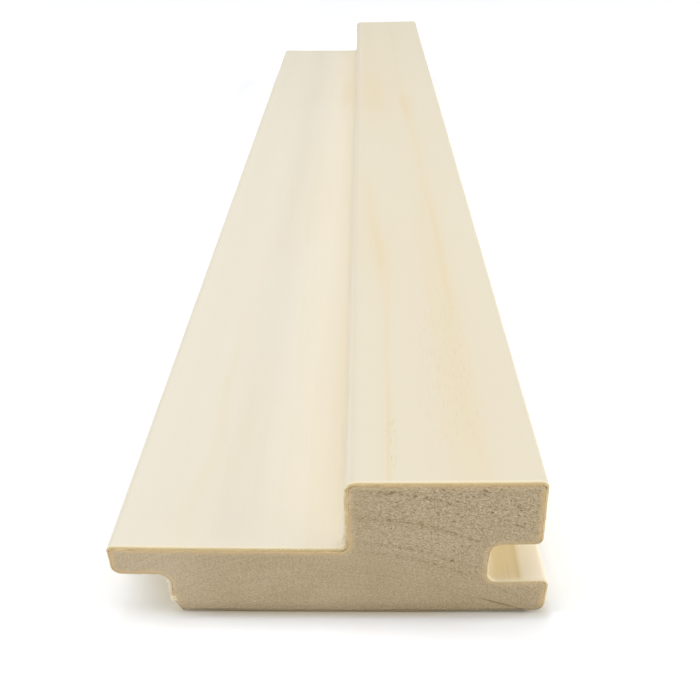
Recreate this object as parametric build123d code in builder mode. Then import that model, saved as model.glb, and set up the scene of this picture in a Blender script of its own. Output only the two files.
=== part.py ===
from build123d import *
import os

# Tongue and groove cladding board, one milled length of solid wood, in millimetres.
# The board lies on its back. +X runs across it from the tongue to the groove,
# +Y runs along it, and +Z points out of the faces that show on the wall.
# The origin is the middle of the back.

# Board
board_length = 330.0
board_thickness = 28.0
cover_width = 60.0          # from one board to the next when they are laid
raised_width = 29.2         # the band that stands proud, across its face
step_depth = 13.5           # from the raised face down to the sunk face

# Tongue
tongue_length = 8.7
tongue_thickness = 6.1
heel_bevel_width = 1.2      # bevel where the shoulder meets the back
heel_bevel_height = 2.6

# Groove
groove_depth = 9.6          # from the end of the back lip
front_lip_setback = 1.9     # the front lip stops short of the back lip
front_lip_slant = 0.6       # the front lip's end leans in towards the face

# Clearances of the laid joint
joint_gap = 0.1             # back lip to the next board's shoulder
play_over_tongue = 0.75
play_under_tongue = 1.2

# Corner radii
step_arris_radius = 1.7
step_cove_radius = 1.2
front_arris_radius = 1.2
front_lip_radius = 1.1
groove_corner_radius = 1.6
back_lip_top_radius = 1.1
back_lip_bottom_radius = 1.5
heel_radius = 0.6
tongue_top_radius = 0.7
tongue_under_radius = 1.6
tongue_root_radius = 1.7
largest_share_of_wall = 0.45    # of the shorter flat beside a rounded corner

# Places across the board
overall_width = tongue_length + cover_width - joint_gap
tongue_tip_x = -overall_width / 2
shoulder_x = tongue_tip_x + tongue_length
back_lip_x = overall_width / 2
groove_back_x = back_lip_x - groove_depth
front_lip_x = back_lip_x - front_lip_setback
front_arris_x = front_lip_x - front_lip_slant
step_x = front_arris_x - raised_width

# Heights above the back
sunk_face_z = board_thickness - step_depth
tongue_under_z = sunk_face_z - tongue_thickness
groove_roof_z = sunk_face_z + play_over_tongue
groove_floor_z = tongue_under_z - play_under_tongue
groove_height = groove_roof_z - groove_floor_z
front_lip_height = board_thickness - groove_roof_z
front_lip_reach = front_lip_x - groove_back_x

# Corners of the section, clockwise from the step, seen from the near end
step_arris = (step_x, board_thickness)
front_arris = (front_arris_x, board_thickness)
front_lip = (front_lip_x, groove_roof_z)
groove_top = (groove_back_x, groove_roof_z)
groove_bottom = (groove_back_x, groove_floor_z)
back_lip_top = (back_lip_x, groove_floor_z)
back_lip_bottom = (back_lip_x, 0)
heel_back = (shoulder_x + heel_bevel_width, 0)
heel_side = (shoulder_x, heel_bevel_height)
tongue_root = (shoulder_x, tongue_under_z)
tongue_under = (tongue_tip_x, tongue_under_z)
tongue_top = (tongue_tip_x, sunk_face_z)
step_cove = (step_x, sunk_face_z)


def fitted(radius, *walls):
    """The radius, or less where the flats beside the corner are too short for it."""
    return min(radius, *(largest_share_of_wall * wall for wall in walls))


corner_rounds = (
    (step_arris, fitted(step_arris_radius, raised_width, step_depth)),
    (front_arris, fitted(front_arris_radius, raised_width, front_lip_height)),
    (front_lip, fitted(front_lip_radius, front_lip_height, front_lip_reach)),
    (groove_top, fitted(groove_corner_radius, groove_height, front_lip_reach)),
    (groove_bottom, fitted(groove_corner_radius, groove_height, groove_depth)),
    (back_lip_top, fitted(back_lip_top_radius, groove_floor_z, groove_depth)),
    (back_lip_bottom, fitted(back_lip_bottom_radius, groove_floor_z)),
    (heel_back, fitted(heel_radius, heel_bevel_width, heel_bevel_height)),
    (heel_side, fitted(heel_radius, heel_bevel_height, tongue_under_z - heel_bevel_height)),
    (tongue_root, fitted(tongue_root_radius, tongue_length, tongue_under_z - heel_bevel_height)),
    (tongue_under, fitted(tongue_under_radius, tongue_thickness, tongue_length)),
    (tongue_top, fitted(tongue_top_radius, tongue_thickness, tongue_length)),
    (step_cove, fitted(step_cove_radius, step_depth)),
)

# The milled section, run along the whole length
with BuildPart() as cladding_board:
    with BuildSketch(Plane.XZ) as section:
        with BuildLine():
            Polyline(
                step_arris,
                front_arris,
                front_lip,
                groove_top,
                groove_bottom,
                back_lip_top,
                back_lip_bottom,
                heel_back,
                heel_side,
                tongue_root,
                tongue_under,
                tongue_top,
                step_cove,
                close=True,
            )
        make_face()
        for corner, radius in corner_rounds:
            fillet(section.vertices().sort_by_distance(corner)[0], radius=radius)
    extrude(amount=board_length / 2, both=True)

os.makedirs("parts", exist_ok=True)
cladding_board.part.label = "cladding_board"
export_step(cladding_board.part, "parts/cladding_board.step")
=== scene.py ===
import math

import bpy
import numpy as np
from mathutils import Matrix, Vector, noise
from mathutils.geometry import delaunay_2d_cdt


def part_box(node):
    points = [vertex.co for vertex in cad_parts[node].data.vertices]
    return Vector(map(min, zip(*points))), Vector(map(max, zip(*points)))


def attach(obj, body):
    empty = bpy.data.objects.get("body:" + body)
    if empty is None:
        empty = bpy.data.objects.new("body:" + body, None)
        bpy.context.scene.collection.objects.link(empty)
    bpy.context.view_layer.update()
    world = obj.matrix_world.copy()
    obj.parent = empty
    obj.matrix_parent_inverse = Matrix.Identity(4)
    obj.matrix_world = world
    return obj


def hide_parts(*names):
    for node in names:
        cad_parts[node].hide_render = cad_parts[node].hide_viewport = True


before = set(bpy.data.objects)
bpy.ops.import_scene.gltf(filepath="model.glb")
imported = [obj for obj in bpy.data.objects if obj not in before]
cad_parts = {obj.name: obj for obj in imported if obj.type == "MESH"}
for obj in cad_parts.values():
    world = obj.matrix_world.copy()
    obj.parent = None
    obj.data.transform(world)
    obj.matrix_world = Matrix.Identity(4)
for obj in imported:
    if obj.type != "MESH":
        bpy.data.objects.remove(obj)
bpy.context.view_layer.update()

board_low, board_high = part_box("cladding_board")
mm = 0.001
random = np.random.default_rng(11)

# The milled section, in millimetres, as it is in the board's solid
board_length = (board_high.y - board_low.y) / mm
board_width = (board_high.x - board_low.x) / mm
board_thickness = (board_high.z - board_low.z) / mm
near_end_y = board_low.y / mm
tongue_length = 8.7
tongue_thickness = 6.1
step_depth = 13.5
raised_width = 29.2
groove_depth = 9.6
front_lip_setback = 1.9
front_lip_slant = 0.6
play_over_tongue = 0.75
play_under_tongue = 1.2
heel_bevel_width = 1.2
heel_bevel_height = 2.6

half_width = board_width / 2
shoulder_x = -half_width + tongue_length
groove_back_x = half_width - groove_depth
front_lip_x = half_width - front_lip_setback
front_arris_x = front_lip_x - front_lip_slant
step_x = front_arris_x - raised_width
sunk_face_z = board_thickness - step_depth
tongue_under_z = sunk_face_z - tongue_thickness
groove_roof_z = sunk_face_z + play_over_tongue
groove_floor_z = tongue_under_z - play_under_tongue

# Corner of the section, and its radius, going round clockwise seen from the near end
section_corners = (
    ((step_x, board_thickness), 1.7),
    ((front_arris_x, board_thickness), 1.2),
    ((front_lip_x, groove_roof_z), 1.1),
    ((groove_back_x, groove_roof_z), 1.6),
    ((groove_back_x, groove_floor_z), 1.6),
    ((half_width, groove_floor_z), 1.1),
    ((half_width, 0.0), 1.5),
    ((shoulder_x + heel_bevel_width, 0.0), 0.6),
    ((shoulder_x, heel_bevel_height), 0.6),
    ((shoulder_x, tongue_under_z), 1.7),
    ((-half_width, tongue_under_z), 1.6),
    ((-half_width, sunk_face_z), 1.1),      # rubbed rounder than it was milled
    ((step_x, sunk_face_z), 1.2),
)

# The tree's heart, far below the board: the growth rings are round it
heart_x, heart_z = -1.0, -36.0
usual_ring_radius = 52.0
late_wood_radii = (50.4, 52.3, 57.6, 62.9)      # rings that show as dotted lines

# The saw tore the ends' fibres at the upper right
torn_from, torn_full = 10.0, 21.0       # heights, mm
torn_fall = 0.35                        # these heights fall to the right by this slope
torn_left_share = 0.35                  # left of the middle it tore less
torn_right_x = 12.0                     # in full from here to the right


def smooth(low, high, value):
    """0 below low, 1 above high, and an even curve between."""
    t = np.clip((value - low) / (high - low), 0.0, 1.0)
    return t * t * (3 - 2 * t)


# Camera, at the photograph's place and angle
focal_length_px = 756.4
frame_px = 700.0
camera_from_end = 78.4      # mm in front of the near end
camera_across = 5.4
camera_height = 104.1
pitch_down, yaw_left, roll_right = math.radians(33.98), math.radians(1.26), math.radians(0.87)


def show(name, contents):
    """Put a mesh, a lamp or the camera into the scene."""
    made = bpy.data.objects.new(name, contents)
    bpy.context.scene.collection.objects.link(made)
    return made


def place_camera():
    camera = bpy.data.cameras.new("camera")
    camera.sensor_width = 36.0
    camera.lens = camera.sensor_width * focal_length_px / frame_px
    camera.clip_start = 0.005
    holder = show("camera", camera)
    place = Vector((camera_across, near_end_y - camera_from_end, camera_height)) * mm
    holder.matrix_world = (
        Matrix.Translation(place)
        @ Matrix.Rotation(yaw_left, 4, "Z")
        @ Matrix.Rotation(math.pi / 2 - pitch_down, 4, "X")
        @ Matrix.Rotation(-roll_right, 4, "Z")
    )
    bpy.context.scene.camera = holder


# Mesh of the board, in millimetres
outline_spacing = 0.4
arris_radius = 0.36
foot_arris = 0.25           # added along the floor
ragged_arris = 0.14         # added to the radius where the cutters tore the edge
nibble_depth = 0.30
deepest_bite = 0.55         # less than the smallest corner radius
burr_height = 0.28          # torn lobes that stand out from the step wall at the ends
burr_tail = 0.15            # how far past the arris they reach
burr_tail_share = 0.8
cap_spacing = 0.27
cap_jitter = 0.22           # shares of the spacing
cap_clearance = 0.55
relief_fade = (0.1, 0.8)    # the sawn surface is even next to its border
first_station = 1.0
first_step, step_growth, longest_step = 0.2, 1.28, 5.5
saw_lean = 0.6              # the near end leans back by this much over the thickness
lean_pivot = 0.45           # share of the thickness where it stays in place
cup_height = 0.6            # the edges of the back stand this far off the floor
cup_left_on_face = 0.4      # share of the cup that reaches the raised face

# Round the worn arris, from the sawn end at 0 to the long faces at 1, and how much end
# grain each ring of points shows
arris_turns = ((0.0, 1.0), (0.25, 1.0), (0.5, 1.0), (0.75, 0.9), (1.0, 0.2))


def rounded_outline(corners, spacing):
    """Points and outward normals round the section, with its corners rounded."""
    points, normals = [], []
    places = [Vector(place) for place, _ in corners]
    count = len(corners)
    arcs = []
    for i, (_, radius) in enumerate(corners):
        arriving = (places[i] - places[i - 1]).normalized()
        leaving = (places[(i + 1) % count] - places[i]).normalized()
        turn = arriving.cross(leaving)
        angle = arriving.angle(leaving)
        run = radius * math.tan(angle / 2)
        side = -1.0 if turn < 0 else 1.0
        left = Vector((-arriving.y, arriving.x))
        centre = places[i] - arriving * run + left * side * radius
        arcs.append((places[i] - arriving * run, places[i] + leaving * run, centre, side, angle))
    for i, (start, end, centre, side, angle) in enumerate(arcs):
        radius = (start - centre).length
        steps = max(4, math.ceil(radius * angle / (spacing * 0.7)))
        for k in range(steps + 1):
            turned = Matrix.Rotation(side * angle * k / steps, 2) @ (start - centre)
            points.append(centre + turned)
            normals.append(turned.normalized() * -side)
        flat = arcs[(i + 1) % count][0] - end
        steps = max(1, round(flat.length / spacing))
        for k in range(1, steps):
            points.append(end + flat * k / steps)
            normals.append(Vector((-flat.y, flat.x)).normalized())
    return np.array(points), np.array(normals)


def inside(points, outline):
    """True for each point that lies inside the outline."""
    x, z = points[:, 0][:, None], points[:, 1][:, None]
    x0, z0 = outline[:, 0][None], outline[:, 1][None]
    x1, z1 = np.roll(x0, -1), np.roll(z0, -1)
    crosses = (z0 > z) != (z1 > z)
    where = x0 + (z - z0) * (x1 - x0) / np.where(z1 == z0, 1e-9, z1 - z0)
    return (np.sum(crosses & (x < where), axis=1) % 2) == 1


def distance_to(outline, points):
    """Shortest distance from each point to the outline."""
    nearest = np.full(len(points), 1e9)
    for a, b in zip(outline, np.roll(outline, -1, axis=0)):
        along = b - a
        share = np.clip(((points - a) @ along) / (along @ along), 0, 1)
        foot = a + share[:, None] * along
        nearest = np.minimum(nearest, np.linalg.norm(points - foot, axis=1))
    return nearest


def cup_lift(x, z):
    """How far the cupped board stands over the flat one, mm."""
    return cup_height * (x / half_width) ** 2 * (1 - (1 - cup_left_on_face) * z / board_thickness)


def lean_back(y, z):
    """How far the saw, out of square at the near end, set each place back, mm."""
    to_far_end = (near_end_y + board_length - y) / board_length
    return saw_lean * (z / board_thickness - lean_pivot) * to_far_end


def settle(places):
    """Lean and cup the places of a straight, flat board."""
    places[:, 1] += lean_back(places[:, 1], places[:, 2])
    places[:, 2] += cup_lift(places[:, 0], places[:, 2])


def torn_share(x, z):
    """0 where the saw left the end smooth, 1 where it tore the fibres."""
    left = torn_left_share + (1 - torn_left_share) * smooth(0.0, torn_right_x, x)
    return smooth(torn_from, torn_full, z + torn_fall * x) * left


def ragged_share(x, z):
    """How torn the arris of an end is, round the section."""
    over_sunk_face = smooth(sunk_face_z - 1, sunk_face_z, z)
    step_wall = smooth(0.8, 0.2, abs(x - step_x)) * over_sunk_face
    cove = smooth(3.0, 0.5, np.hypot(x - step_x, z - sunk_face_z))
    under_tongue = smooth(tongue_under_z + 0.5, tongue_under_z - 1, z)
    shoulder = 0.5 * smooth(2.0, 0.6, abs(x - shoulder_x)) * under_tongue
    sunk_edge = 0.35 * smooth(step_x, step_x - 2, x) * over_sunk_face
    return np.clip(np.maximum.reduce([step_wall, cove, shoulder, sunk_edge]), 0.12, 1.0)


def noise_at(places, scale, seed):
    """Smooth noise from -1 to 1 at each place."""
    return np.array([noise.noise(Vector((x * scale[0], z * scale[1], seed))) for x, z in places])


def end_relief(places, end):
    """How far the sawn surface lies below its plane, mm."""
    x, z = places[:, 0], places[:, 1]
    torn = torn_share(x, z)
    seed = 20.0 * end
    ring = np.hypot(x - heart_x, z - heart_z)
    round_heart = np.arctan2(x - heart_x, z - heart_z) * usual_ring_radius
    ringed = np.column_stack([round_heart, ring])
    wool = noise_at(places, (1.8, 3.0), seed + 7)
    fine = noise_at(places, (3.6, 4.6), seed + 3)
    on_ring = np.maximum.reduce([smooth(0.8, 0.2, np.abs(ring - late)) for late in late_wood_radii])
    pits = np.maximum(0.0, noise_at(ringed, (1.1, 2.4), seed) - 0.36 + 0.08 * on_ring)
    return 0.02 * wool + 0.02 * fine + torn * (0.04 * wool + 0.45 * pits)


def stations(length):
    """Distances from an end to its middle, close together near the end."""
    places, reached, step = [], first_station, first_step
    while reached < length / 2:
        places.append(reached)
        reached += step
        step = min(step * step_growth, longest_step)
    return places


def half_rings(outline, normals):
    """Rings of points from an end to the middle, each with its distance from the end, its
    share of end grain, and its place past the rim."""
    across, height = outline[:, 0], outline[:, 1]
    ragged = ragged_share(across, height)
    arris = arris_radius * (1 + 0.3 * noise_at(outline, (0.9, 0.9), 2.0))
    arris += ragged_arris * ragged * (1 + noise_at(outline, (1.6, 1.6), 5.0)) / 2
    nibble = nibble_depth * ragged * np.clip(1.8 * noise_at(outline, (1.2, 1.2), 9.0), 0.0, 1.0)
    nibble = np.clip(deepest_bite - arris, 0.0, nibble)
    wall = smooth(0.8, 0.2, abs(across - step_x))
    wall *= smooth(sunk_face_z + 0.5, sunk_face_z + 1.5, height)
    burr = burr_height * wall * np.clip(2.2 * noise_at(outline, (0.95, 0.95), 4.5), 0.0, 1.0)
    on_floor = smooth(shoulder_x + 2, shoulder_x + 4, across)
    on_floor *= smooth(half_width - 2, half_width - 4, across)
    arris += foot_arris * smooth(0.5, 0.1, height) * on_floor

    rings = []
    for turn, end_share in arris_turns:
        angle = turn * math.pi / 2
        inset = arris * (1 - math.sin(angle)) + nibble * (1 - turn) - burr * math.sin(angle)
        from_end = arris * (1 - math.cos(angle))
        rings.append((outline - normals * inset[:, None], from_end, end_share, -turn))
    tail = outline + normals * (burr_tail_share * burr)[:, None]
    rings.append((tail, arris + burr_tail, 0.0, burr_tail))
    for place in stations(board_length):
        rings.append((outline, np.full(len(outline), place), 0.0, place))
    return rings


def cap_points(outline, border):
    """Points spread over a sawn end, out of line, inside its border."""
    low, high = outline.min(axis=0), outline.max(axis=0)
    columns = np.arange(low[0], high[0], cap_spacing)
    rows = np.arange(low[1], high[1], cap_spacing * math.sqrt(3) / 2)
    across, height = np.meshgrid(columns, rows)
    across = across + (np.arange(len(rows)) % 2)[:, None] * cap_spacing / 2
    grid = np.column_stack([across.ravel(), height.ravel()])
    grid += random.uniform(-cap_jitter, cap_jitter, grid.shape) * cap_spacing
    grid = grid[inside(grid, border)]
    return grid[distance_to(border, grid) > cap_spacing * cap_clearance]


def shape_board(outline, normals):
    count = len(outline)
    half = half_rings(outline, normals)
    border = half[0][0]
    vertices, end_grain, rim, faces = [], [], [], []
    for r, (ring, from_end, end_share, past_rim) in enumerate(half + half[::-1]):
        y = from_end if r < len(half) else board_length - from_end
        vertices.append(np.column_stack([ring[:, 0], near_end_y + y, ring[:, 1]]))
        end_grain.append(np.full(count, end_share))
        rim.append(np.full(count, past_rim))
    last_ring = 2 * len(half) - 1
    for r in range(last_ring):
        a, b = r * count, (r + 1) * count
        for k in range(count):
            n = (k + 1) % count
            faces.append((a + k, b + k, b + n, a + n))

    for end in (0, 1):
        first = 0 if end == 0 else last_ring * count
        start = sum(len(v) for v in vertices)
        grid = cap_points(outline, border)
        flat = [Vector(p) for p in border] + [Vector(p) for p in grid]
        edges = [(k, (k + 1) % count) for k in range(count)]
        flat_out, _, triangles, sources, _, _ = delaunay_2d_cdt(flat, edges, [], 1, 1e-7)
        assert len(flat_out) == len(flat)
        number = [first + s[0] if s[0] < count else start + s[0] - count for s in sources]
        inwards = distance_to(border, grid)
        depth = end_relief(grid, end) * smooth(*relief_fade, inwards)
        y = near_end_y + depth if end == 0 else near_end_y + board_length - depth
        vertices.append(np.column_stack([grid[:, 0], y, grid[:, 1]]))
        end_grain.append(np.ones(len(grid)))
        rim.append(inwards)
        for triangle in triangles:
            turned = triangle if end == 0 else triangle[::-1]
            faces.append(tuple(number[k] for k in turned))

    places = np.vstack(vertices)
    settle(places)
    mesh = bpy.data.meshes.new("cladding_board_wood")
    mesh.from_pydata([tuple(p) for p in places * mm], [], faces)
    for name, values in (("end_grain", end_grain), ("rim", rim)):
        mesh.attributes.new(name, "FLOAT", "POINT").data.foreach_set("value", np.concatenate(values))
    mesh.validate()
    mesh.polygons.foreach_set("use_smooth", [True] * len(mesh.polygons))
    return show("cladding_board_wood", mesh)


# Loose fibres along the arrises of both ends, in millimetres
fibres_per_end = 420
cove_fibres = 70
cove_fibres_reach = 2.5     # along the board
shoulder_fibres = 120
tuft_fibres = 36
tuft_x, tuft_z = shoulder_x + 0.35, heel_bevel_height + 0.6
fibre_segments = 4
fibre_taper = 0.75
lowest_fibre = 0.02


def fibre(root, direction, bend, length, thickness):
    """Corners and faces of one tapered, bent fibre."""
    direction = direction / np.linalg.norm(direction)
    side = np.cross(direction, (0.3, 0.5, 0.81))
    side /= np.linalg.norm(side)
    other = np.cross(direction, side)
    corners, faces = [], []
    for k in range(fibre_segments + 1):
        t = k / fibre_segments
        middle = root + direction * length * t + bend * length * t * t
        radius = thickness / 2 * (1 - fibre_taper * t)
        for turn in (0.0, 2.1, 4.2):
            corners.append(middle + radius * (side * math.cos(turn) + other * math.sin(turn)))
    for k in range(fibre_segments):
        for n in range(3):
            a, b = 3 * k + n, 3 * k + (n + 1) % 3
            faces.append((a, b, b + 3, a + 3))
    faces.append((2, 1, 0))
    faces.append(tuple(3 * fibre_segments + n for n in range(3)))
    return corners, faces


def grow_fibres(outline, normals):
    places, faces = [], []

    def add(root, direction, bend, length, thickness):
        corners, sides = fibre(np.array(root), np.array(direction), bend, length, thickness)
        start = len(places)
        places.extend(corners)
        faces.extend(tuple(start + k for k in side) for side in sides)

    ragged = ragged_share(outline[:, 0], outline[:, 1])
    chance = (ragged ** 1.5 + 0.02) * smooth(0.3, 1.2, outline[:, 1])
    for end, out in ((near_end_y, -1.0), (near_end_y + board_length, 1.0)):
        for k in random.choice(len(outline), fibres_per_end, p=chance / chance.sum()):
            tangent = np.array([normals[k][1], -normals[k][0]])
            spread = random.uniform(-0.5, 0.5, 3)
            flat = normals[k] * (0.35 + spread[0]) + tangent * spread[1] * 1.6
            direction = (flat[0], out * (0.15 + spread[2]), flat[1])
            at = outline[k] - normals[k] * 0.05
            root = (at[0], end - out * random.uniform(0.0, 0.2), at[1])
            length = random.uniform(0.15, 0.3) + 0.25 * ragged[k] * random.uniform(0, 1)
            add(root, direction, random.uniform(-0.35, 0.35, 3), length, random.uniform(0.05, 0.10))
        for _ in range(cove_fibres):
            back = random.uniform(0.0, 1.0) ** 1.6 * cove_fibres_reach
            up = random.uniform(0.0, 3.0) ** 1.2
            cove_x = step_x - 0.05 - 1.2 * math.exp(-up * 2.0)
            direction = (
                random.uniform(-0.9, -0.1),
                out * random.uniform(-0.3, 1.0),
                random.uniform(-0.5, 0.5),
            )
            add((cove_x, end - out * back, sunk_face_z + up), direction,
                random.uniform(-0.3, 0.3, 3), random.uniform(0.25, 0.6), random.uniform(0.06, 0.11))
        for _ in range(shoulder_fibres):
            root = (
                shoulder_x + 0.1,
                end - out * random.uniform(0.05, 0.35),
                random.uniform(heel_bevel_height - 0.4, tongue_under_z - 0.6),
            )
            direction = (
                random.uniform(-1.0, -0.4),
                out * random.uniform(-0.1, 0.5),
                random.uniform(-0.9, 0.9),
            )
            add(root, direction,
                random.uniform(-0.4, 0.4, 3), random.uniform(0.2, 0.45), random.uniform(0.07, 0.13))
    for _ in range(tuft_fibres):
        turn = random.uniform(0.0, 2 * math.pi)
        root = (
            tuft_x + 0.15 * math.cos(turn),
            near_end_y - random.uniform(0.0, 0.1),
            tuft_z + 0.2 * math.sin(turn),
        )
        direction = (math.cos(turn), random.uniform(-0.5, 0.0), math.sin(turn))
        add(root, direction,
            random.uniform(-0.4, 0.4, 3), random.uniform(0.35, 0.85), random.uniform(0.13, 0.2))

    places = np.array(places)
    settle(places)
    places[:, 2] = np.maximum(places[:, 2], lowest_fibre)
    mesh = bpy.data.meshes.new("torn_fibres")
    mesh.from_pydata([tuple(p) for p in places * mm], [], faces)
    mesh.polygons.foreach_set("use_smooth", [True] * len(mesh.polygons))
    return show("torn_fibres", mesh)


# Finishes
class Value:
    """What varies over a surface: an output socket that takes part in arithmetic."""

    def __init__(self, finish, socket):
        self.finish = finish
        self.socket = socket

    def __add__(self, other):
        return self.finish.maths("ADD", self, other)

    __radd__ = __add__

    def __sub__(self, other):
        return self.finish.maths("SUBTRACT", self, other)

    def __rsub__(self, other):
        return self.finish.maths("SUBTRACT", other, self)

    def __mul__(self, other):
        if self.socket.type == "RGBA":
            return self.finish.scale(self, other)
        return self.finish.maths("MULTIPLY", self, other)

    __rmul__ = __mul__

    def __truediv__(self, other):
        return self.finish.maths("DIVIDE", self, other)

    def __pow__(self, other):
        return self.finish.maths("POWER", self, other)


class Finish:
    """The nodes of one material, or of the world."""

    def __init__(self, holder):
        holder.use_nodes = True
        self.tree = holder.node_tree
        self.tree.nodes.clear()

    def node(self, kind, settings=None, inputs=None, output=0):
        made = self.tree.nodes.new(kind)
        for key, value in (settings or {}).items():
            if key == "points":
                curve = made.mapping.curves[0]
                for place in value[1:-1]:
                    curve.points.new(*place)
                curve.points[0].location = value[0]
                curve.points[-1].location = value[-1]
                made.mapping.update()
            else:
                setattr(made, key, value)
        for key, value in (inputs or {}).items():
            if isinstance(value, Value):
                self.tree.links.new(value.socket, made.inputs[key])
            else:
                made.inputs[key].default_value = value
        return None if output is None else Value(self, made.outputs[output])

    def place(self):
        """Place in the board's frame, in metres."""
        return self.node("ShaderNodeTexCoord", {}, {}, "Object")

    def in_mm(self, place, axis):
        return self.node("ShaderNodeSeparateXYZ", {}, {0: place}, axis) * (1 / mm)

    def mesh_value(self, name):
        return self.node("ShaderNodeAttribute", {"attribute_name": name}, {}, "Fac")

    def maths(self, operation, *terms):
        return self.node("ShaderNodeMath", {"operation": operation}, dict(enumerate(terms)))

    def vector_maths(self, operation, *terms, output="Vector"):
        sockets = dict(enumerate(terms))
        return self.node("ShaderNodeVectorMath", {"operation": operation}, sockets, output)

    def off(self, value, middle):
        """How far the value is from the middle, either way."""
        return self.maths("ABSOLUTE", value - middle)

    def vector(self, x, y, z):
        return self.node("ShaderNodeCombineXYZ", {}, {0: x, 1: y, 2: z})

    def scale(self, vector, amount):
        """A colour or a place times a number."""
        sockets = {0: vector, "Scale": amount}
        return self.node("ShaderNodeVectorMath", {"operation": "SCALE"}, sockets)

    def noise(self, place, detail=2.0, roughness=0.5, distortion=0.0):
        return self.node("ShaderNodeTexNoise", {}, {
            "Vector": place,
            "Scale": 1.0,
            "Detail": detail,
            "Roughness": roughness,
            "Distortion": distortion,
        })

    def curly_lines(self, place, thickness):
        """Thin broken lines that curl at random, 1 on a line and 0 off it."""
        line = self.between(self.off(self.noise(place, 2.0, 0.45, 0.6), 0.5), thickness, 0.0)
        return line * self.between(self.noise(place, 1.0, 0.5), 0.38, 0.56)

    def along_route(self, share, points):
        """A number that follows the points (share of the length, number), both 0 to 1."""
        return self.node("ShaderNodeFloatCurve", {"points": points}, {"Value": share})

    def between(self, value, low, high, to_low=0.0, to_high=1.0):
        return self.node("ShaderNodeMapRange", {"interpolation_type": "SMOOTHSTEP"}, {
            "Value": value,
            "From Min": low,
            "From Max": high,
            "To Min": to_low,
            "To Max": to_high,
        })

    def blend(self, share, first, second):
        """Colour that is first where share is 0 and second where it is 1."""
        settings = {"data_type": "RGBA", "clamp_factor": True}
        return self.node("ShaderNodeMix", settings, {"Factor": share, 6: first, 7: second}, output=2)


def linear(red, green, blue):
    """A colour seen on screen, 0 to 255, as the light it stands for."""
    def light(c):
        c = c / 255
        return c / 12.92 if c <= 0.04045 else ((c + 0.055) / 1.055) ** 2.4
    return (light(red), light(green), light(blue), 1.0)


# Colours of the planed faces
cream_pale, cream_warm = linear(235, 228, 212), linear(234, 226, 208)
yellow_cream = linear(232, 221, 197)
# painted shade for the sunk face towards the tongue, which takes more lamp light
tongue_side_shade_cream = linear(226, 219, 202)
# painted shade for the raised face, which takes more lamp light than the sunk face
raised_shade_cream = linear(220, 211, 190)
# painted light for the raised face's arris beside the step
step_arris_lit_cream = linear(230, 221, 202)
# painted shade and warm bounce light for the sunk face next to the step wall
beside_step_shade_cream = linear(224, 213, 187)
raised_streak_tan = linear(221, 205, 172)
sunk_streak_tan = linear(228, 216, 186)
fleck_brown = linear(196, 176, 134)
band_fleck_brown = linear(200, 182, 144)
fibre_tan = linear(221, 208, 180)
pore_tan = linear(212, 196, 164)
raised_fibre_cream = linear(240, 229, 204)

# Colours of the milled edges and the groove; several are painted light and shade, as marked
# painted warm shade for the faces below the sunk face
milled_shade_gold = linear(239, 221, 176)
# painted light for the groove
groove_lit_pale = linear(252, 241, 218)
# painted shade and warm bounce light deep in the groove
groove_shade_gold = linear(238, 221, 181)
# painted shade for the groove's back corner
groove_corner_shade = linear(218, 202, 154)
groove_ring_gold = linear(214, 194, 140)
groove_fibre_tan = linear(212, 192, 146)

# Colours of the sawn ends
end_tan, end_tan_light = linear(220, 198, 159), linear(226, 204, 167)
end_tan_left = linear(242, 221, 187)
end_pale, end_dark = linear(255, 239, 208), linear(172, 143, 90)
dark_curl_brown = linear(146, 112, 56)
lip_line_brown = linear(140, 114, 78)
late_wood_brown = linear(156, 114, 50)
pit_brown = linear(148, 106, 42)
fringe_orange = linear(242, 210, 156)
top_fringe_tan = linear(221, 184, 132)
border_orange = linear(244, 212, 158)
arris_gold, arris_pale_gold = linear(212, 189, 138), linear(217, 198, 147)
arris_cream = linear(226, 209, 168)
# painted highlight for the arris round the groove's mouth
mouth_highlight_cream = linear(246, 232, 196)
under_tongue_cream = linear(250, 238, 208)
foot_cream = linear(238, 216, 178)

# Loose fibres stand off the wood and glow with painted light, most of all low down
fibre_cream, fibre_pale = linear(232, 217, 184), linear(242, 232, 206)
fibre_tint_fineness = 900.0
fibre_painted_glow = (1.0, 0.92, 0.74)
fibre_light_low, fibre_light_high = 0.22, 0.05

# Places on the board, in millimetres across it, from its near end, or up
tongue_side_fade = (-16.0, -31.0)
fleck_line_x, fleck_line_from_end = 9.9, 10.0
band_flecks_x, band_flecks_from_end = 19.5, 32.0
groove_gold_fade = (31.0, 29.4)
groove_ring_x = 29.6
end_left_fade = (-14.0, -26.0)
end_right_fade = (2.0, 9.0)
lip_line_heart = (-2.0, -75.0)      # the short dark line on the back lip is round this
lip_line_radius = 82.65
lip_line_fade = (22.0, 26.5)

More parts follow.
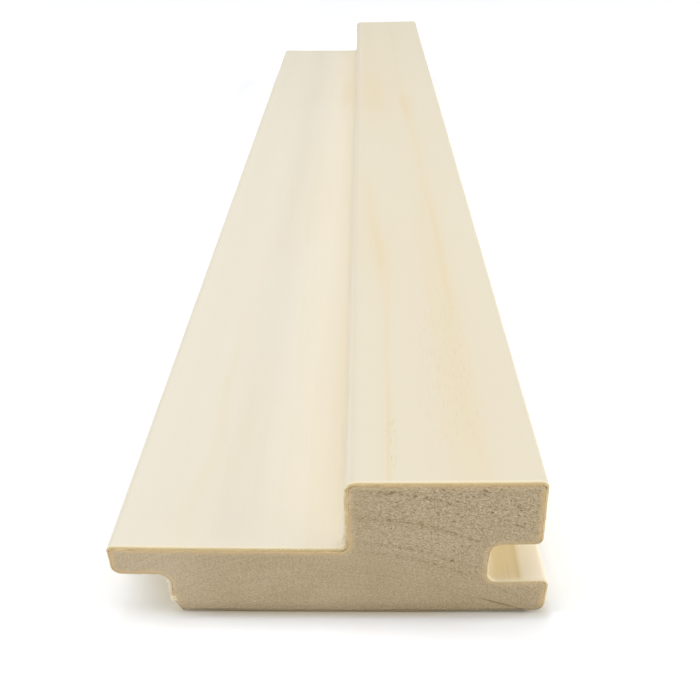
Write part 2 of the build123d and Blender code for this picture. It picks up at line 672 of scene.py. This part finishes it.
# Warm streaks in the two faces: from the near end, across, half width, strength, all in mm
# but the last
raised_streaks = (
    ((0, 8.9, 0.4, 0.8), (11, 9.1, 0.4, 1.0), (21, 9.4, 0.4, 0.8), (33, 9.4, 0.4, 0.5),
     (46, 9.9, 0.6, 0.5), (62, 9.6, 1.4, 0.6), (74, 8.9, 2.0, 1.0), (82, 8.3, 1.9, 0.9),
     (90, 7.6, 1.9, 0.7), (112, 6.6, 1.8, 0.35), (135, 6.0, 1.5, 0.0), (330, 6.0, 1.5, 0.0)),
    ((0, 23.5, 0.8, 0.3), (11, 22.4, 1.2, 0.4), (21, 21.6, 1.6, 0.4), (32, 22.0, 1.6, 0.4),
     (46, 22.4, 1.2, 0.6), (62, 22.3, 1.1, 0.9), (74, 22.4, 1.0, 0.9), (90, 22.3, 1.0, 0.9),
     (112, 21.5, 1.6, 0.5), (144, 21.2, 1.8, 0.4), (170, 20.2, 1.4, 0.6), (185, 19.8, 1.6, 1.0),
     (205, 19.4, 1.5, 0.3), (330, 19.0, 2.0, 0.2)),
    ((0, 20.5, 4.2, 0.40), (25, 20.8, 4.2, 0.55), (45, 20.5, 3.8, 0.50), (70, 19.5, 3.0, 0.40),
     (95, 19.5, 2.4, 0.30), (125, 19.0, 1.8, 0.0), (158, 10.5, 3.6, 0.1), (180, 9.6, 4.6, 0.5),
     (202, 9.2, 4.8, 0.8), (224, 8.8, 4.6, 0.55), (248, 8.4, 4.2, 0.30), (330, 8.0, 4.0, 0.20)),
)
sunk_streaks = (
    ((0, -24.0, 3.0, 0.30), (8, -23.3, 2.4, 0.30), (26, -20.7, 1.4, 0.35), (43, -21.9, 1.0, 0.35),
     (52, -21.2, 0.9, 0.25), (68, -20.6, 0.8, 0.0), (330, -15.0, 1.0, 0.0)),
    ((0, -2.5, 2.6, 0.20), (40, -2.2, 2.2, 0.20), (70, -2.0, 1.8, 0.10), (215, -2.2, 1.8, 0.15),
     (238, -2.0, 2.4, 0.50), (258, -1.6, 2.6, 0.60), (280, -1.6, 2.2, 0.15), (330, -2.0, 2.0, 0.10)),
)
widest_streak = 10.0
streak_core, streak_glow = 1.3, 4.0     # in half widths
streak_raggedness = 3.0


class BoardWood(Finish):
    """Planed wood on the long faces and sawn wood on the ends."""

    def __init__(self, material):
        super().__init__(material)
        place = self.place()
        self.across, self.along, self.up = (self.in_mm(place, axis) for axis in "XYZ")
        self.from_end = self.along - near_end_y
        self.end_grain = self.mesh_value("end_grain")
        self.rim = self.mesh_value("rim")       # mm inwards on an end, below 0 on its arris
        self.raised = self.between(self.up, sunk_face_z + 6, board_thickness - 2)
        self.fibres = self.lengthwise(2.6, 0.06, 4.0, 0.65)
        self.pores = self.lengthwise(7.0, 0.45, 2.0, 0.6)
        self.streak_edge = (self.fibres - 0.5) * streak_raggedness

        # Growth rings: distance from the heart, and the way round it
        self.radius = self.distance_from(heart_x, heart_z)
        turn = self.maths("ARCTAN2", self.across - heart_x, self.up - heart_z)
        self.round_heart = turn * usual_ring_radius

        # Short fibres seen end on
        self.torn = self.between(self.up + self.across * torn_fall, torn_from, torn_full)
        self.torn = self.torn * self.between(self.across, 0.0, torn_right_x, torn_left_share, 1.0)
        self.grain = self.noise(self.ringwise(2.4, 0, 5.2), 3.0, 0.65)
        self.curls = self.curly_lines(self.ringwise(2.3, 9, 3.6), 0.05)
        self.dark_curls = self.curly_lines(self.ringwise(2.6, 21, 4.4), 0.05)
        self.dark_curls = self.dark_curls * self.between(self.rim, 0.3, 0.9)
        self.fine_curls = self.curly_lines(self.crosswise(4.2, 33, 4.8), 0.06)
        self.spots = self.noise(self.ringwise(1.3, 50, 2.8), 2.0, 0.5)
        self.pits = self.between(self.spots, 0.64, 0.71) * self.torn

    def distance_from(self, x, z):
        """Distance from the line that runs along the board at x and z."""
        across, up = self.across - x, self.up - z
        return (across * across + up * up) ** 0.5

    def lengthwise(self, fineness, fineness_along, detail, roughness, shift=0):
        """Noise drawn out along the board."""
        across, up = self.across * fineness, self.up * fineness + shift
        return self.noise(self.vector(across, self.along * fineness_along, up), detail, roughness)

    def crosswise(self, fineness, shift, fineness_up):
        """Place for a pattern that follows the sawn end's width and height."""
        return self.vector(self.across * fineness, self.along + shift, self.up * fineness_up)

    def ringwise(self, fineness, shift, fineness_out):
        """Place for a pattern that follows the growth rings."""
        return self.vector(self.round_heart * fineness, self.along + shift, self.radius * fineness_out)

    def streak(self, route):
        """1 in the middle of a streak and 0 off it."""
        share = self.from_end / board_length
        places, breadths, strengths = [], [], []
        for from_end, x, half_breadth, strength in route:
            places.append((from_end / board_length, (x + half_width) / board_width))
            breadths.append((from_end / board_length, half_breadth / widest_streak))
            strengths.append((from_end / board_length, strength))
        middle = self.along_route(share, places) * board_width - half_width
        breadth = self.along_route(share, breadths) * widest_streak
        off = self.off(self.across, middle) / breadth + self.streak_edge
        core = self.between(off, streak_core, 0.0)
        glow = self.between(off, streak_glow, 0.0)
        warmth = (core * 0.75 + glow * 0.3) * self.along_route(share, strengths)
        return warmth * (0.55 + 0.5 * self.fibres)

    def flecks(self, fineness, fineness_along, seed, low, high):
        place = self.vector(self.across * fineness, self.along * fineness_along, seed)
        return self.between(self.noise(place, 2.0, 0.6), low, high)

    def planed_faces(self):
        """Cream wood with soft lengthwise streaks and flecks, with painted shade and light on the
        raised face, beside the step and towards the tongue.
        """
        across, up, from_end, raised = self.across, self.up, self.from_end, self.raised
        broad = self.lengthwise(0.10, 0.010, 3.0, 0.5)
        yellow = self.lengthwise(0.30, 0.012, 3.0, 0.6, 40)
        cream = self.blend(self.between(broad, 0.36, 0.64), cream_pale, cream_warm)
        cream = self.blend(self.between(yellow, 0.46, 0.70) * 0.22, cream, yellow_cream)
        # painted shade: the sunk face is painted darker towards the tongue side, which takes more lamp
        # light
        cream = self.blend(self.between(across, *tongue_side_fade), cream, tongue_side_shade_cream)
        # painted shade: the raised face is painted darker, to even out the stronger light on it
        cream = self.blend(raised * 0.9, cream, raised_shade_cream)
        # painted light: the raised face's arris beside the step is painted lighter, where it faces away
        # from most lamps
        step_arris = self.between(across, step_x + 1.7, step_x + 0.3)
        step_arris = step_arris * self.between(up, sunk_face_z + 9, board_thickness - 1.5)
        cream = self.blend(step_arris, cream, step_arris_lit_cream)

        for route in raised_streaks:
            cream = self.blend(self.streak(route) * raised, cream, raised_streak_tan)
        for route in sunk_streaks:
            cream = self.blend(self.streak(route) * (1 - raised), cream, sunk_streak_tan)
        in_line = self.between(self.off(across, fleck_line_x), 0.9, 0.4)
        in_line = in_line * self.between(self.off(from_end, fleck_line_from_end), 8, 4)
        line_flecks = self.flecks(7.0, 0.5, 9.0, 0.56, 0.64) * in_line
        cream = self.blend(line_flecks * raised * 0.5, cream, fleck_brown)
        in_band = self.between(self.off(across, band_flecks_x), 6, 3)
        in_band = in_band * self.between(self.off(from_end, band_flecks_from_end), 32, 16)
        band_flecks = self.flecks(4.0, 0.4, 15.0, 0.55, 0.66) * in_band
        cream = self.blend(band_flecks * raised * 0.22, cream, band_fleck_brown)

        # painted shade and warm bounce light on the sunk face next to the step wall
        beside_step = self.between(across, step_x - 4.5, step_x)
        beside_step = beside_step * self.between(up, sunk_face_z + 11, sunk_face_z + 8)
        cream = self.blend(beside_step * 0.40, cream, beside_step_shade_cream)
        cream = self.blend(self.between(self.fibres, 0.50, 0.80) * 0.16, cream, fibre_tan)
        return self.blend(self.between(self.pores, 0.62, 0.80) * 0.18, cream, pore_tan)

    def milled_edges(self, cream):
        """The milled edges and the back are painted deeper in colour as painted shade, the groove most
        of all, whose mouth is painted lighter as painted light.
        """
        across, up = self.across, self.up
        # painted shade: faces below the sunk face, mostly in shade, are painted a deeper, warmer cream
        # for the warm light the wood throws into them
        milled = self.between(up, sunk_face_z - 0.1, sunk_face_z - 1.2)
        cream = self.blend(milled * 0.8, cream, milled_shade_gold)
        in_groove = self.between(across, groove_back_x - 0.4, groove_back_x - 0.05)
        in_groove = in_groove * self.between(up, groove_roof_z + 1.2, groove_roof_z + 0.5)
        in_groove = in_groove * self.between(up, groove_floor_z - 1.0, groove_floor_z - 0.4)
        meander = (self.noise(self.vector(self.along * 0.03, 0.0, 5.0), 2.0, 0.5) - 0.5) * 1.2
        deep = self.between(across + meander, *groove_gold_fade) * in_groove
        # painted light: the groove is painted paler than the faces, where little lamp light reaches
        # into it
        cream = self.blend(in_groove, cream, groove_lit_pale)
        # painted shade and warm bounce light deep in the groove, under the front lip
        cream = self.blend(deep * 0.9, cream, groove_shade_gold)
        # painted shade in the groove's back corner
        corner = self.between(across, groove_back_x + 1.3, groove_back_x + 0.2) * in_groove
        cream = self.blend(corner * 0.45, cream, groove_corner_shade)
        ring = self.between(self.off(across + meander, groove_ring_x), 0.8, 0.0) * in_groove
        cream = self.blend(ring * 0.25, cream, groove_ring_gold)
        groove_fibres = self.between(self.lengthwise(3.4, 0.05, 3.0, 0.6, 70), 0.5, 0.75)
        cream = self.blend(deep * groove_fibres * 0.3, cream, groove_fibre_tan)
        return self.blend(self.between(self.rim, 0.45, 0.1) * 0.5, cream, raised_fibre_cream)

    def sawn_fibres(self):
        """Tan wool of fibre ends, darker and lighter in short curls."""
        across, torn = self.across, self.torn
        speckle = self.noise(self.crosswise(6.0, 5, 7.0), 2.0, 0.7)
        patches = self.noise(self.vector(across * 0.12, self.along, self.up * 0.16), 2.0, 0.5)
        rings = self.noise(self.vector(self.radius * 2.2, 0.0, self.round_heart * 0.05), 2.0, 0.5)
        woolly = self.between(torn, 0.0, 1.0, 1.05, 1.4)
        tan = self.blend(self.between(patches, 0.35, 0.65), end_tan, end_tan_light)
        tan = self.blend(self.between(across, *end_left_fade) * 0.8, tan, end_tan_left)
        tan = self.blend(self.between(across, *end_right_fade) * 0.17, tan, end_dark)
        tan = self.blend(self.between(rings, 0.42, 0.64) * 0.14, tan, end_dark)
        tan = self.blend(self.between(self.grain, 0.60, 0.28) * woolly * 0.42, tan, end_dark)
        tan = self.blend(self.between(self.grain, 0.50, 0.75) * woolly * 0.45, tan, end_pale)
        tan = self.blend(self.between(speckle, 0.50, 0.28) * woolly * 0.42, tan, end_dark)
        tan = self.blend(self.between(speckle, 0.50, 0.72) * woolly * 0.42, tan, end_pale)
        tan = self.blend(self.fine_curls * (0.25 + 0.45 * torn), tan, end_pale)
        tan = self.blend(self.curls * (0.25 + 0.65 * torn), tan, end_pale)
        return self.blend(self.dark_curls * (0.22 + 0.22 * torn), tan, dark_curl_brown)

    def growth_rings(self, tan):
        """Rings that show as dotted lines, one short line on the back lip, and torn-out pits."""
        on_lip = self.between(self.off(self.distance_from(*lip_line_heart), lip_line_radius), 0.24, 0.0)
        on_lip = on_lip * self.between(self.across, *lip_line_fade)
        on_lip = on_lip * self.between(self.up, groove_floor_z + 1, groove_floor_z - 1)
        tan = self.blend(on_lip * 0.75, tan, lip_line_brown)
        wave = self.noise(self.vector(self.round_heart * 0.12, self.along, 8.0), 1.0, 0.5)
        wavy_radius = self.radius + (wave - 0.5) * 1.2
        for late in late_wood_radii:
            on_ring = self.between(self.off(wavy_radius, late), 0.55, 0.15)
            on_ring = on_ring * self.torn * self.between(self.across, 12.0, 26.0, 1.0, 0.4)
            dots = self.between(self.spots, 0.46, 0.60)
            tan = self.blend(on_ring * dots * 0.5, tan, late_wood_brown)
            tan = self.blend(on_ring * 0.08, tan, end_dark)
        return self.blend(self.pits * 0.6, tan, pit_brown)

    def end_border(self, tan):
        """Pale fringe along the border of an end, and its worn arris, with painted light on some
        arrises and painted shade low down.
        """
        across, up, rim = self.across, self.up, self.rim
        uneven = self.noise(self.vector(across * 0.7, 0.0, up * 0.7), 2.0, 0.6)
        fringe = self.between(uneven, 0.35, 0.65, 0.45, 1.0) * self.between(up, 0.8, 2.2)
        at_raised_face = self.between(up, board_thickness - 1.6, board_thickness - 0.4, 1.0, 0.25)
        at_top = self.between(up, board_thickness - 1.6, board_thickness - 0.5)
        at_step_wall = self.between(across, step_x + 2.5, step_x + 1.5)
        at_step_wall = at_step_wall * self.between(up, sunk_face_z + 0.5, sunk_face_z + 2.5)
        at_mouth = self.between(across, groove_back_x - 2, groove_back_x - 1)
        at_mouth = at_mouth * self.between(up, groove_roof_z + 2, groove_roof_z + 1)
        at_mouth = at_mouth * self.between(up, groove_floor_z - 2, groove_floor_z - 1)
        mouth_arris = self.between(across, groove_back_x - 0.6, groove_back_x - 0.4)
        mouth_arris = mouth_arris * self.between(up, groove_roof_z + 0.3, groove_roof_z)
        mouth_arris = mouth_arris * self.between(up, groove_floor_z - 0.5, groove_floor_z - 0.3)
        under_tongue = self.between(across, shoulder_x + 2.4, shoulder_x + 1.0)
        under_tongue = under_tongue * self.between(up, tongue_under_z + 1.0, tongue_under_z + 0.3)
        under_tongue = under_tongue * self.between(up, 0.6, 2.0)
        step_wall_arris = at_step_wall * self.between(up, board_thickness - 1.0, board_thickness - 2.0)
        softened = at_raised_face * (1 - 0.5 * at_step_wall)
        softened = softened * (1 - 0.5 * at_mouth) * (1 - 0.6 * under_tongue)

        tan = self.blend(self.between(rim, 1.2, 0.1) * fringe * softened * 0.85, tan, fringe_orange)
        tan = self.blend(self.between(rim, 0.65, 0.1) * fringe * at_top * 0.8, tan, top_fringe_tan)
        tan = self.blend(self.between(rim, 0.35, 0.0) * fringe * softened, tan, border_orange)
        tan = self.blend(self.between(rim, 0.0, -0.25) * fringe, tan, arris_gold)
        tan = self.blend(self.between(rim, -0.25, -0.5) * fringe, tan, arris_pale_gold)
        tan = self.blend(self.between(rim, -0.5, -0.75), tan, arris_cream)
        # painted light: the end's arris at the step wall is painted lighter, where it faces away from
        # most lamps
        tan = self.blend(self.between(rim, 0.25, 0.0) * step_wall_arris, tan, tan * 1.2)
        # painted highlight along the arris round the groove's mouth
        tan = self.blend(self.between(rim, -0.1, -0.6) * mouth_arris, tan, mouth_highlight_cream)
        tan = self.blend(self.between(rim, 0.3, -0.4) * under_tongue * 0.85, tan, under_tongue_cream)
        # painted shade: the end is painted darker towards the floor
        tan = self.blend(self.between(up, 3.0, 0.0) * 0.75, tan, tan * 0.66)
        on_foot = self.between(rim, 0.0, -0.5) * self.between(up, 0.9, 0.3)
        return self.blend(on_foot * 0.9, tan, foot_cream)

    def relief(self):
        """Height of the finest relief, mm."""
        on_end = (self.grain - 0.5) * 0.03 + self.curls * 0.02 + self.fine_curls * 0.01
        on_end = on_end - self.dark_curls * 0.03 - self.pits * 0.08
        on_end = on_end * self.between(self.rim, 0.0, 0.4)
        on_face = (self.fibres - 0.5) * 0.012 + (self.pores - 0.5) * 0.006
        return on_face + self.end_grain * (on_end - on_face)


def planed_wood():
    material = bpy.data.materials.new("planed_wood")
    wood = BoardWood(material)
    faces = wood.milled_edges(wood.planed_faces())
    ends = wood.end_border(wood.growth_rings(wood.sawn_fibres()))
    sockets = {"Strength": 1.0, "Distance": mm, "Height": wood.relief()}
    bump = wood.node("ShaderNodeBump", {}, sockets, "Normal")
    shader = wood.node("ShaderNodeBsdfPrincipled", {}, {
        "Base Color": wood.blend(wood.end_grain, faces, ends),
        "Roughness": wood.between(wood.end_grain, 0.0, 1.0, 0.60, 0.90) + (wood.fibres - 0.5) * 0.12,
        "Specular IOR Level": 0.25,
        "Normal": bump,
    })
    wood.node("ShaderNodeOutputMaterial", {}, {"Surface": shader}, None)
    return material


def loose_fibre():
    material = bpy.data.materials.new("loose_fibre")
    finish = Finish(material)
    place = finish.place()
    tint = finish.noise(finish.scale(place, fibre_tint_fineness))
    up = finish.in_mm(place, "Z")
    # painted light: the loose fibres glow, most of all low down
    glow = finish.between(up, 9.0, 11.0, fibre_light_low, fibre_light_high)
    shader = finish.node("ShaderNodeBsdfPrincipled", {}, {
        "Base Color": finish.blend(finish.between(tint, 0.35, 0.65), fibre_cream, fibre_pale),
        "Roughness": 0.9,
        "Specular IOR Level": 0.1,
        "Emission Color": finish.scale(fibre_painted_glow, glow),
        "Emission Strength": 1.0,
    })
    finish.node("ShaderNodeOutputMaterial", {}, {"Surface": shader}, None)
    return material


# Floor, background and light
floor_reach = 6.0           # metres
floor_paper = (0.918, 0.93, 0.948, 1.0)
floor_shadow_before_wood = (0.70, 0.635, 0.50, 1.0)    # painted contact shadow, warm as from the light the wood throws on it
# painted shadow under the tongue
floor_shadow_under_tongue = (0.75, 0.72, 0.60, 1.0)
floor_glow = 0.08
far_glow = 1.0              # more where the lamps no longer reach
far_glow_fade = (250, 1000)
glow_tint = (0.97, 1.0, 1.06)
room_light = 0.08
white = (1.0, 1.0, 1.0, 1.0)
lamps_aim = (0.0, -0.05, 0.0)
softboxes = (
    # name, place, size, power
    ("overhead", (0.0, 0.10, 1.2), 0.40, 3.4),
    ("left_high", (-0.5, -0.1, 1.08), 0.60, 5.0),
    ("left_low", (-1.08, -0.1, 0.5), 0.40, 3.8),
    ("right_high", (0.5, -0.1, 1.08), 0.50, 1.7),
    ("right_low", (1.08, -0.1, 0.5), 0.40, 7.2),
    ("front", (0.0, -1.0, 0.8), 0.80, 2.1),
    ("back", (0.0, 1.1, 0.9), 0.80, 2.2),
)


def white_floor():
    material = bpy.data.materials.new("white_floor")
    finish = Finish(material)
    seen = finish.node("ShaderNodeLightPath", {}, {}, "Is Camera Ray")
    place = finish.place()
    across = finish.in_mm(place, "X")
    outwards = finish.vector_maths("ABSOLUTE", place)
    lengthwise = finish.in_mm(outwards, "Y")
    beyond = finish.vector_maths("SUBTRACT", outwards, board_high)
    beyond = finish.vector_maths("MAXIMUM", beyond, (0.0, 0.0, 0.0))
    from_board = finish.vector_maths("LENGTH", beyond, output="Value") * (1 / mm)

    # Painted shadow: the paper close to the board, before it and under the tongue, is painted darker
    # and warm, for its contact shadow and the light the wood throws back
    close = finish.between(from_board, 1.7, 0.0)
    before_wood = close * finish.between(across, shoulder_x - 1.5, shoulder_x + 1.5)
    before_wood = before_wood * finish.between(finish.off(across, 0.0), 12, 30, 1.0, 0.35)
    under_tongue = close * finish.between(across, -half_width - 1, shoulder_x) * 0.30
    paper = finish.blend(before_wood, floor_paper, floor_shadow_before_wood)
    paper = finish.blend(under_tongue * (1 - before_wood), paper, floor_shadow_under_tongue)

    # The glow lifts the paper to white round the board's shadow
    past_end = finish.between(lengthwise, board_length / 2 - 7, board_length / 2)
    left_beside = finish.between(across, shoulder_x - 6, shoulder_x - 13)
    left_before = finish.between(across, shoulder_x + 7, shoulder_x - 4) * 1.25
    left = left_beside * (1 - past_end) + left_before * past_end
    right = finish.between(across, half_width + 1, half_width + 5)
    before = finish.between(lengthwise, board_length / 2, board_length / 2 + 0.1)
    before = before * finish.between(from_board, 0.8, 2.3)
    near_glow = finish.maths("MAXIMUM", finish.maths("MAXIMUM", left, right), before)
    shine = seen * (floor_glow * near_glow + far_glow * finish.between(from_board, *far_glow_fade))
    shader = finish.node("ShaderNodeBsdfPrincipled", {}, {
        "Base Color": paper,
        "Roughness": 1.0,
        "Specular IOR Level": 0.0,
        "Emission Color": finish.scale(glow_tint, shine),
        "Emission Strength": 1.0,
    })
    finish.node("ShaderNodeOutputMaterial", {}, {"Surface": shader}, None)
    return material


def lay_floor():
    corners = [(x * floor_reach, y * floor_reach, 0) for x, y in ((-1, -1), (1, -1), (1, 1), (-1, 1))]
    mesh = bpy.data.meshes.new("floor")
    mesh.from_pydata(corners, [], [(0, 1, 2, 3)])
    mesh.materials.append(white_floor())
    floor = show("floor", mesh)


def light_world():
    world = bpy.data.worlds.new("white_room")
    bpy.context.scene.world = world
    sky = Finish(world)
    seen = sky.node("ShaderNodeLightPath", {}, {}, "Is Camera Ray")
    room = sky.node("ShaderNodeBackground", {}, {"Color": white, "Strength": room_light})
    backdrop = sky.node("ShaderNodeBackground", {}, {"Color": white, "Strength": 1.0})
    chosen = sky.node("ShaderNodeMixShader", {}, {0: seen, 1: room, 2: backdrop})
    sky.node("ShaderNodeOutputWorld", {}, {"Surface": chosen}, None)


def hang_softbox(name, place, size, power):
    lamp = bpy.data.lights.new(name, "AREA")
    lamp.shape = "SQUARE"
    lamp.size = size
    lamp.energy = power
    holder = show(name, lamp)
    holder.location = place
    turned = (Vector(lamps_aim) - Vector(place)).to_track_quat("-Z", "Y")
    holder.rotation_euler = turned.to_euler()


place_camera()
outline, normals = rounded_outline(section_corners, outline_spacing)
board = shape_board(outline, normals)
board.data.materials.append(planed_wood())
fibres = grow_fibres(outline, normals)
fibres.data.materials.append(loose_fibre())
for piece in (board, fibres):
    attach(piece, "root")
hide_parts("cladding_board")
lay_floor()
light_world()
for softbox in softboxes:
    hang_softbox(*softbox)
bpy.context.scene.view_settings.view_transform = "Standard"
